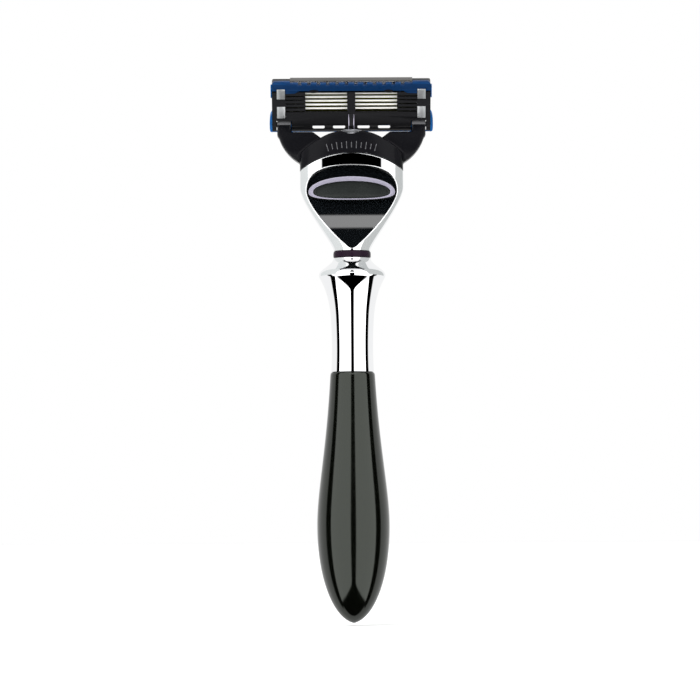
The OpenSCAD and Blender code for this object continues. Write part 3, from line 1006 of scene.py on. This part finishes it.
def housing_profile():
    back = -CARTRIDGE_T
    seat = 11.75
    corner = curve((-1.7, 0), (-2.4, 0.05), (-2.9, 0.9), (-3.2, 1.6), 6)
    shoulder = curve((-3.2, 1.6), (-3.6, 2.2), (back, 2.4), (back, 3.1), 6)
    cap = curve((-0.7, CARTRIDGE_H), (-0.3, CARTRIDGE_H), (0, CARTRIDGE_H - 0.3), (0, CARTRIDGE_H - 0.7), 6)
    return ([(-1.2, 0)] + corner + shoulder[1:] + [(back, seat), (-2.9, seat), (-2.9, CARTRIDGE_H - 0.3),
            (-2.7, CARTRIDGE_H)] + cap + [(0, WINDOW_HIGH), (0, WINDOW_LOW), (-1.2, WINDOW_LOW)])


def rounded_top(half, top):
    """Cutter to keep: a front view with rounded top corners, open at the bottom."""
    right = [(half, -20)] + arc((half - CORNER_R, top - CORNER_R), CORNER_R, 0, 90, 8)
    return prism("rounded_top", right + mirrored(right), "y", -CUT, CUT, CARTRIDGE)


def housing_windows():
    cutters = [frame_block("blades", (-18.8, -3.2, WINDOW_LOW), (18.8, 9, WINDOW_HIGH)),
               frame_block("hem_room", (-18.8, -3.2, WINDOW_HIGH - 0.5), (18.8, -2.1, WINDOW_HIGH + 0.5))]
    for side in (1, -1):
        cutters.append(side_block("window", side, (1.05, -9, 6.2), (11.9, -3.1, REAR_HIGH)))
        for k in range(5):
            u = 6.2 + PITCH * k
            cutters.append(side_block("finger", side, (11.8, -9, u), (17.1, -3.1, u + 0.4)))
        for u in CLIP_U:
            cutters.append(side_block("clip", side, (CLIP_IN - 0.05, -9, u - 0.2), (19.35, 9, u + 0.2)))
    cutters.append(frame_block("strip", (-17.3, -1.0, WINDOW_HIGH + 0.5), (17.3, 9, CARTRIDGE_H - 0.9)))
    return cutters


def arm_pocket_cutters(side):
    """Room for an arm's end, and the blind hole for its pin."""
    reach = 1.6
    w, u = PIVOT_LOCAL
    profile = [(-20, -20), (w + reach, -20)] + arc((w, u), reach, 0, 90, 15) + [(-20, u + reach)]
    pocket = prism("pocket", profile, "x", *span(side, 15.5, 19.5), CARTRIDGE)
    return [pocket, round_bar("pin_hole", *span(side, 19.4, 20.35), w, u, PIN_R + 0.05, CARTRIDGE)]


def side_point(w, u):
    p = CARTRIDGE @ Vector((0, w, u))
    return Vector((p.y, p.z))


def cam_flank():
    """Involute that makes the plunger's travel proportional to the cartridge's angle."""
    rate = 2.5
    start = PIVOT_Z - NOSE_TOP - 0.08
    flank = []
    for i in range(19):
        a = math.radians(45 * i / 18)
        h = start + rate * a
        flank.append(Vector((PIVOT_Y - rate * math.cos(a) - h * math.sin(a),
                             PIVOT_Z + rate * math.sin(a) - h * math.cos(a))))
    middle = sum(flank, Vector((0, 0))) / len(flank)
    return flank, (side_point(-3.6, 4.0) - middle).normalized()


def cam_rib():
    flank, inward = cam_flank()
    outline = [side_point(-3.2, 2.0)] + flank + [side_point(-3.5, 6.0)]
    rib = prism("cam_rib", [tuple(p) for p in outline], "x", -0.65, 0.65)
    channel = [p + inward * 0.4 for p in flank] + [p - inward * 1.2 for p in reversed(flank)]
    return cut(rib, prism("channel", [tuple(p) for p in channel], "x", -0.36, 0.36))


def cam_highlight_rail(side):
    """Pale bead along one wall of the cam rib: a painted highlight on the rib's edge."""
    flank, inward = cam_flank()
    path = []
    for p in flank[6:] + [side_point(-3.5, 5.8)]:
        y, z = p + inward * 0.12
        path.append((0.64 * side, y, z))
    return shade(tube("cam_highlight_rail", path, 0.12, False), 80)


def cartridge_housing():
    obj = sweep("cartridge_housing", housing_profile(), HALF_W)
    keep_inside(obj, rounded_top(HALF_W, CARTRIDGE_H))
    cut(obj, *housing_windows())
    for side in (1, -1):
        cut(obj, *arm_pocket_cutters(side))
    cut(obj, rinse_slot_cutters())
    add(obj, cam_rib())
    tidy(obj)
    return shade(bevel(obj, 0.09, 2, 30), 34)


def wing_outline(side):
    """Front view of a soft side wing: it swells from the end wall and tapers off at both ends."""
    edge = HALF_W + 0.7
    outline = path(
        (HALF_W - 1.0, -0.3),
        ((HALF_W - 0.4, -0.3), (edge - 0.25, 0.0), (edge - 0.1, 0.7), 8),
        ((edge, 1.2), (edge, 2.6), (edge - 0.05, 3.6), 8),
        ((edge - 0.15, 4.6), (edge - 0.35, 5.1), (HALF_W - 0.2, 5.8), 8),
        (HALF_W - 1.0, 5.8))
    return outline if side > 0 else mirrored(outline)


def guard_strip():
    parts = [frame_block("guard", (-19.0, -1.15, 0.1), (19.0, -0.3, WINDOW_LOW - 0.1)),
             frame_block("bar", (-HALF_W, -1.8, -0.2), (HALF_W, -1.2, 0.05)),
             frame_block("lip", (-19.0, -1.2, -0.3), (19.0, -0.3, 0.2))]
    wing = ([(-3.0, 0.4)] + curve((-2.0, -0.3), (-1.7, -0.3), (-1.1, -0.3), (-0.8, -0.3), 2)
            + curve((-0.6, -0.15), (-0.5, 0.0), (-0.5, 0.1), (-0.5, 0.4), 4)
            + curve((-0.5, 5.0), (-0.5, 5.4), (-0.8, 5.8), (-1.2, 5.8), 6)
            + curve((-2.4, 5.8), (-2.8, 5.8), (-3.0, 5.6), (-3.0, 5.2), 6))
    base = parts[0]
    add(base, *parts[1:])
    for side in (1, -1):
        part = prism("wing", wing, "x", *span(side, HALF_W, HALF_W + 0.7), CARTRIDGE)
        keep_inside(part, prism("outline", wing_outline(side), "y", -CUT, CUT, CARTRIDGE))
        rail = [(-2.6, 9.6), (-2.6, 13.0), (-1.2, 13.0), (-1.2, 9.6)]
        rail = prism("rail", rail, "x", *span(side, HALF_W, HALF_W + 0.35), CARTRIDGE)
        bevel(rail, 0.3, 4, 40)
        add(base, part, rail)
    cut(base, rinse_slot_cutters())
    bevel(base, 0.12, 3, 40)
    shade(base, 40)
    fins = []
    for i in range(12):
        u = 0.95 + 0.27 * i
        profile = [(-0.4, u - 0.02), (-0.4, u + 0.16), (-0.03, u + 0.12), (0, u + 0.07), (-0.03, u + 0.02)]
        fins.append(sweep("fin", profile, 18.4))
    return merge([base, shade(merge(fins), 40)])


def lubricating_strip_piece():
    low, high = WINDOW_HIGH + 0.6, CARTRIDGE_H - 1.0
    top = curve((-0.15, low), (-0.05, low + 0.1), (-0.05, high - 0.1), (-0.15, high), 10)
    profile = [(-0.95, high), (-0.95, low)] + top
    obj = sweep("lubricating_strip", profile, 17.2)
    return shade(bevel(obj, 0.08, 2, 40), 40)


def clip(side):
    """Bent strap: front band, two legs and two turned-in ends with rounded bends."""
    t = 0.15
    back = -CARTRIDGE_T - 0.05
    low, high = CLIP_U

    def bend(corner, end):
        return corner, corner, end, 4

    outer = path(
        (back - t, 7.8), (back - t, low + 0.2),
        bend((back - t, low - t), (back + 0.1, low - t)), (-0.1, low - t),
        bend((0.2, low - t), (0.2, low + 0.1)), (0.2, high - 0.1),
        bend((0.2, high + t), (-0.1, high + t)), (back + 0.1, high + t),
        bend((back - t, high + t), (back - t, high - 0.2)), (back - t, 9.9))
    inner = [(back, 9.9), (back, high), (0.05, high), (0.05, low), (back, low), (back, 7.8)]
    obj = prism("clip", outer + inner, "x", *span(side, CLIP_IN, CLIP_IN + CLIP_W), CARTRIDGE)
    return shade(bevel(obj, 0.04, 2, 50), 40)


def trimmer_carrier():
    pitch = 2.43
    low, high = 12.1, CAP_TOP
    shoulder = CARTRIDGE_H - 0.05
    profile = ([(-3.1, low), (-3.1, high)]
               + curve((-3.9, high), (-4.1, high), (-4.2, high - 0.15), (-4.2, high - 0.4), 4)
               + curve((-4.2, low + 0.3), (-4.2, low + 0.1), (-4.1, low), (-3.95, low), 4))
    half = HALF_W - 0.05
    obj = sweep("trimmer_carrier", profile, half)
    keep_inside(obj, rounded_top(half, high))
    cut(obj, frame_block("cap", (-CAP_HALF, -9, shoulder), (CAP_HALF, 9, high + 5)))
    cutters = []
    for i in range(12):
        x = (i - 5.5) * pitch
        cutters.append(frame_block("notch", (x - 0.45, -9, shoulder - 0.55), (x + 0.45, 9, high + 5)))
    cut(obj, merge(cutters))
    for side in (1, -1):
        cut(obj, side_block("clip", side, (CLIP_IN - 0.1, -9, 0), (CLIP_IN + CLIP_W + 0.1, 9, 12.7)))
        skirt = [(13.0, 12.4), (14.6, 11.5), (17.05, 11.4), (17.05, 12.4)]
        add(obj, prism("skirt", skirt if side > 0 else mirrored(skirt), "y", -4.15, -4.02, CARTRIDGE))
    return shade(bevel(obj, 0.08, 2, 40), 40)


def cap_bar():
    """Grey cap edge that shows above the carrier, between its two taller ends."""
    top = CAP_TOP
    profile = ([(-3.0, CARTRIDGE_H + 0.02), (-3.0, top - 0.15)]
               + curve((-3.0, top - 0.1), (-2.95, top), (-2.85, top), (-2.7, top), 4)
               + curve((-1.1, top), (-0.7, top), (-0.5, top - 0.2), (-0.5, CARTRIDGE_H + 0.02), 6))
    bar = sweep("cap_bar", profile, CAP_HALF - 0.02)
    return shade(bevel(bar, 0.06, 2, 50), 40)


def boss(side):
    """Dark oval catch on the carrier's lower edge."""
    outline = [(9.7 * side + 1.25 * x, 12.1 + 0.42 * u) for x, u in circle((0, 0), 1, 40)]
    obj = prism("boss", outline, "y", -4.34, -3.9, CARTRIDGE)
    return shade(bevel(obj, 0.12, 3, 50), 50)


def trimmer_blade():
    profile = [(-3.05, 12.1), (-2.95, 12.1), (-2.95, 14.1), (-2.99, 14.4), (-3.05, 14.15)]
    return shade(sweep("trimmer_blade", profile, 15.9), 20)


def blade(k):
    edge = FIRST_EDGE + PITCH * k
    profile = [(0, edge), (-0.17, edge + 0.42), (-0.32, edge + 0.95), (-0.42, edge + 0.92),
               (-0.26, edge + 0.42), (-0.14, edge + 0.12)]
    return shade(sweep("blade_%d" % (k + 1), profile, BLADE_HALF), 10)


SUPPORT_T = 0.12
SUPPORT_HALF = BLADE_HALF - 1.4
HEM = 0.2
HEM_W = -2.43
HEM_LIFT = 0.82


def blade_support(k):
    """Bent sheet: flange under the blade, a rounded bend and a leg that runs to the back."""
    edge = FIRST_EDGE + PITCH * k
    leg = edge + 1.0
    under = leg - SUPPORT_T
    outside = path(
        (-0.2, edge + 0.2), (-0.42, edge + 0.86),
        ((-0.45, leg), (-0.5, leg), (-0.65, leg), 5),
        (-2.15, leg), (-2.27, leg + HEM_LIFT - 0.1), (HEM_W + 0.02, leg + HEM_LIFT - 0.04))
    inside = path(
        (HEM_W + 0.02, under), (-0.7, under),
        ((-0.6, under), (-0.57, leg - 0.16), (-0.54, leg - 0.24), 4),
        (-0.33, edge + 0.2))
    profile = outside + inside
    return shade(sweep("support", profile, SUPPORT_HALF), 40)


def support_hem(k):
    """Rolled hem at the back of a support: the bright line seen through the rear windows."""
    top = FIRST_EDGE + PITCH * k + 1.0 + HEM_LIFT
    low = top - 2 * HEM
    bend = curve((HEM_W, top), (HEM_W - HEM * 1.33, top), (HEM_W - HEM * 1.33, low), (HEM_W, low), 12)
    profile = bend + [(HEM_W + 0.1, low + 0.1), (HEM_W + 0.1, top - 0.1)]
    return shade(sweep("hem", profile, SUPPORT_HALF), 60)


# --- scene


def plain_material(name, colour, rough):
    s = Shader(name)
    s.colour(s.mix(s.ramp(s.noise(12.0, 3), 0, 1), colour, tuple(0.99 * c for c in colour)))
    s.roughness(s.ramp(s.noise(40.0, 3), rough - 0.03, rough + 0.03))
    return s


def sheet(name, corners, look):
    """One flat face of the studio."""
    mesh = bpy.data.meshes.new(name)
    mesh.from_pydata([tuple(v * MM for v in p) for p in corners], [], [(0, 1, 2, 3)])
    return dress(add_object(name, mesh), look.material)


def floor():
    half, z = 6000, FLOOR_Z
    corners = [(-half, -half, z), (half, -half, z), (half, half, z), (-half, half, z)]
    obj = sheet("floor", corners, plain_material("floor", (0.93, 0.93, 0.93), 0.8))
    obj.visible_glossy = False


class Sky(Nodes):
    """Studio around the razor as a function of direction: azimuth from the photo camera and elevation."""

    def __init__(self):
        world = bpy.data.worlds.new("studio")
        bpy.context.scene.world = world
        world.use_nodes = True
        self.tree = world.node_tree
        self.back = self.tree.nodes["Background"]
        split = self.new("SeparateXYZ")
        self.link(self.new("TexCoord").outputs["Generated"], split.inputs[0])
        x, y, z = split.outputs
        degrees = 180 / math.pi
        turn = self.math("ARCTAN2", self.math("ABSOLUTE", x), self.product(y, -1))
        self.azimuth = self.product(turn, degrees)
        self.elevation = self.product(self.math("ARCSINE", z), degrees)

    def math(self, kind, a, b=None):
        node = self.new("Math")
        node.operation = kind
        for socket, value in zip(node.inputs, (a, b)):
            if value is None:
                continue
            if isinstance(value, (int, float)):
                socket.default_value = value
            else:
                self.link(value, socket)
        return node.outputs[0]

    def step(self, value, start, end):
        """0 below start, 1 above end, or the reverse when end is below start."""
        flip = end < start
        node = self.new("MapRange", From_Min=min(start, end), From_Max=max(start, end),
                        To_Min=1 if flip else 0, To_Max=0 if flip else 1)
        node.interpolation_type = "SMOOTHSTEP"
        self.link(value, node.inputs["Value"])
        return node.outputs["Result"]

    def fold(self, kind, *values):
        out = values[0]
        for value in values[1:]:
            out = self.math(kind, out, value)
        return out

    def product(self, *values):
        return self.fold("MULTIPLY", *values)

    def most(self, *values):
        return self.fold("MAXIMUM", *values)


def studio():
    """Two tall soft boxes, a dark slit at the camera, dark strips at their far edges, pale wall behind."""
    sky = Sky()
    azimuth, elevation, step, product = sky.azimuth, sky.elevation, sky.step, sky.product
    wall, box, card, lamp = 0.93, 2.0, 2.6, 9.0
    # The slit widens below, where no light reaches.
    below = sky.most(sky.math("SUBTRACT", -31, elevation), 0)
    half = sky.math("ADD", product(below, below, 0.23), 8.4)
    past_slit = step(sky.math("SUBTRACT", azimuth, half), -1.0, 1.0)
    in_box = product(past_slit, step(azimuth, 77.5, 75.5), step(elevation, 72, 66), step(elevation, -46, -42))
    low_fill = product(step(elevation, -46, -52), step(azimuth, 80, 90))
    on_wall = sky.most(step(azimuth, 96, 99), step(elevation, 66, 74), low_fill)
    in_card = product(step(azimuth, 24, 20), step(elevation, 18, 20), step(elevation, 31, 29))
    in_lamp = product(step(azimuth, 76, 79), step(azimuth, 93, 90),
                      step(elevation, 43, 46), step(elevation, 56, 53))
    light = sky.math("ADD", product(in_box, box), product(on_wall, wall))
    light = sky.most(light, product(in_card, card), product(in_lamp, lamp))
    seen = sky.new("LightPath").outputs["Is Camera Ray"]
    strength = sky.math("ADD", product(light, sky.math("SUBTRACT", 1, seen)), seen)
    sky.link(strength, sky.back.inputs["Strength"])
    sky.back.inputs["Color"].default_value = (1.0, 1.0, 1.0, 1)


def soft_light(name, azimuth, elevation, distance, size, power):
    """Area light aimed at the washer, seen by matt surfaces only."""
    data = bpy.data.lights.new(name, "AREA")
    data.shape = "RECTANGLE"
    data.size = size
    data.size_y = size * 1.4
    data.energy = power
    obj = add_object(name, data)
    a, e = math.radians(azimuth), math.radians(elevation)
    obj.location = distance * Vector((math.sin(a) * math.cos(e), -math.cos(a) * math.cos(e), math.sin(e)))
    obj.rotation_euler = (-obj.location).to_track_quat("-Z", "Y").to_euler()
    obj.visible_glossy = False


def head_card(side, strength):
    """Pale card close beside the head. Only its reflection shows."""
    x, depth, low, high = 27 * side, 22, -8, 48
    look = plain_material("card_white", (0.02, 0.02, 0.02), 0.8)
    look.set(Emission_Color=(0.97, 1.0, 0.99, 1), Emission_Strength=strength)
    obj = sheet("head_card", [(x, -depth, low), (x, depth, low), (x, depth, high), (x, -depth, high)], look)
    obj.visible_camera = False
    obj.visible_diffuse = False
    obj.visible_shadow = False


def camera():
    """Camera at the photo's angle: behind the razor and a little below the head."""
    distance = 0.9
    drop = math.radians(3)
    roll = math.radians(0.3)
    sensor = 36
    frame_width = 180.95 * MM
    aim = Vector((-0.9, 0, -24.7)) * MM
    data = bpy.data.cameras.new("camera")
    data.sensor_width = sensor
    data.lens = sensor * distance / frame_width
    data.clip_start = 0.05
    data.clip_end = 50
    obj = add_object("camera", data)
    obj.location = aim + distance * Vector((0, -math.cos(drop), -math.sin(drop)))
    obj.rotation_euler = (math.radians(90) + drop, roll, 0)
    bpy.context.scene.camera = obj


def build():
    mats = {}
    for make in (housing_black, yoke_black, guard_blue, carrier_blue, lubricating_strip, blade_steel,
                 support_steel, clip_metal, spring_steel, stud_steel, insert_brass, chrome, grip_black,
                 inlay_black, button_black, washer_dark, painted_highlight_grey, plunger_grey, ejector_grey, core_black,
                 cap_grey, support_shade):
        mats[make.__name__] = make().material

    def on(obj, name, body, slot, *nodes, look=None):
        return piece(obj, name, body, slot, mats[look or slot], *nodes)

    on(ferrule(), "collar", "handle", "chrome", "ferrule")
    on(grip(), "handle_grip", "handle", "grip_black", "grip")
    on(neck_washer(), "washer", "handle", "washer_dark", "neck_washer")
    on(head_shell(), "chrome_head", "handle", "chrome", "head_shell")
    on(opening_bead(), "opening_bead", "handle", "chrome")
    on(rim_bead(), "rim_bead", "handle", "chrome")
    on(back_inlay(), "thumb_scoop", "handle", "inlay_black", "back_inlay")
    on(release_button(), "thumb_button", "button", "button_black", "release_button")
    # The pale band on the button's lip is a painted highlight.
    on(button_lip_highlight(), "button_lip_highlight", "button", "plunger_grey", look="painted_highlight_grey")
    on(yoke(), "yoke_moulding", "yoke", "yoke_black", "yoke")
    on(plunger(), "plunger_nose", "plunger", "plunger_grey", "plunger")
    on(cartridge_housing(), "housing", "cartridge", "housing_black", "cartridge_housing")
    on(guard_strip(), "guard", "cartridge", "guard_blue", "guard_strip")
    on(lubricating_strip_piece(), "lube_strip", "cartridge", "lubricating_strip", "lubricating_strip")
    for side, word in SIDES:
        on(clip(side), word + "_clip", "cartridge", "clip_metal", "clip_" + word)
    on(trimmer_carrier(), "trimmer_body", "cartridge", "carrier_blue", "trimmer_carrier")
    # Pale beads on the cam rib's edges are painted highlights.
    for side, word in SIDES:
        on(cam_highlight_rail(side), word + "_cam_edge_highlight", "cartridge", "housing_black", look="painted_highlight_grey")
    on(cap_bar(), "cap_bar", "cartridge", "housing_black", look="cap_grey")
    for side, word in SIDES:
        on(boss(side), word + "_catch", "cartridge", "housing_black")
    on(trimmer_blade(), "trimmer_edge", "cartridge", "blade_steel", "trimmer_blade")
    # The supports' legs take the darker copy of their steel: painted shade between the hems.
    for k in range(5):
        n = k + 1
        on(blade(k), "edge_%d" % n, "blade_%d" % n, "blade_steel", "blade_%d" % n)
        on(blade_support(k), "support_%d" % n, "blade_%d" % n, "support_steel", "blade_support_%d" % n,
           look="support_shade")
        on(support_hem(k), "hem_%d" % n, "blade_%d" % n, "support_steel")
    for node, slot in (("plunger_spring", "spring_steel"), ("button_springs", "spring_steel"),
                       ("ejector", "ejector_grey"), ("dock_core", "core_black"),
                       ("threaded_stud", "stud_steel"), ("grip_insert", "insert_brass")):
        dress(NODES[node], mats[slot])


bpy.context.scene.view_settings.view_transform = "Standard"
camera()
build()
floor()
studio()
head_card(side=1, strength=0.52)
head_card(side=-1, strength=0.74)
soft_light("key", azimuth=-40, elevation=35, distance=0.7, size=0.35, power=3.0)
soft_light("fill", azimuth=55, elevation=10, distance=0.8, size=0.4, power=1.5)
